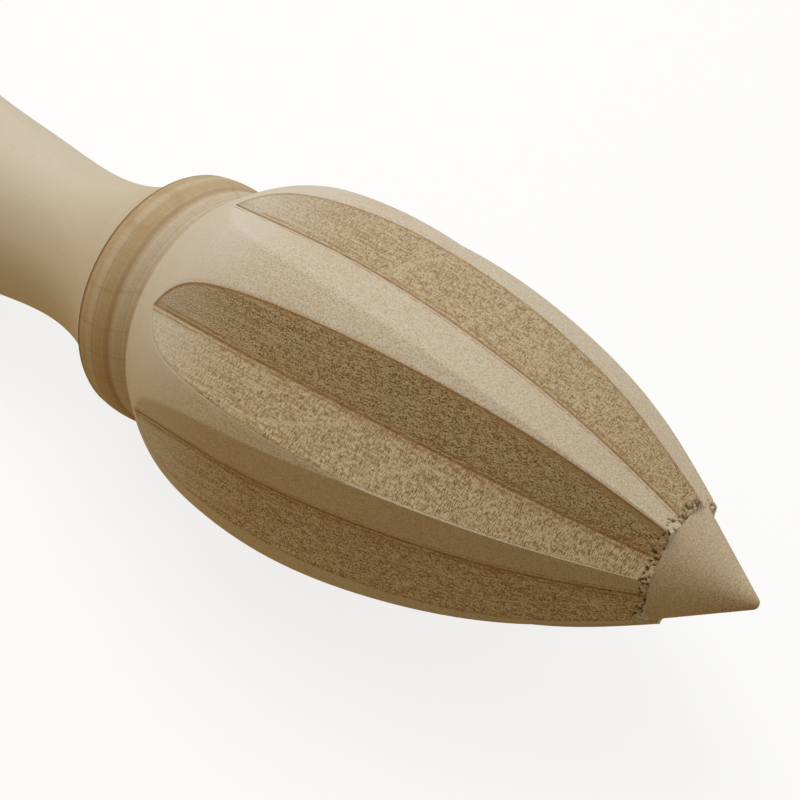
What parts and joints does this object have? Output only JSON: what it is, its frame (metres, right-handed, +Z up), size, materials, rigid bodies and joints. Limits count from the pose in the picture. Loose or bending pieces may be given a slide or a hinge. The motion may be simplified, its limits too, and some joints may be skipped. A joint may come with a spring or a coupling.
{
  "type": "citrus reamer",
  "caption": "Turned wooden hand reamer: waisted handle, beaded collar, egg-shaped head with V-shaped lengthwise flutes and a blunt conical point.",
  "frame": {"origin": "middle of the small flat at the butt of the handle, on the turning axis", "axes": "+X along the turning axis towards the point, +Z up with one flute facing straight up, +Y to the left of +X"},
  "size_m": [0.165, 0.0434, 0.043],
  "materials": {
    "sanded_wood": "sanded smooth, unoiled, pale cream",
    "collar_wood": "as turned, unsanded, light brown",
    "fluted_wood": "sanded lands with raw-cut flutes",
    "cone_wood": "as turned, fine tool rings, open pores",
    "dowel_wood": "plain round dowel"
  },
  "bodies": {
    "root": {"handle": "sanded_wood", "collar": "collar_wood", "head": "fluted_wood", "cone": "cone_wood", "joining_dowel": "dowel_wood"}
  },
  "joints": []
}
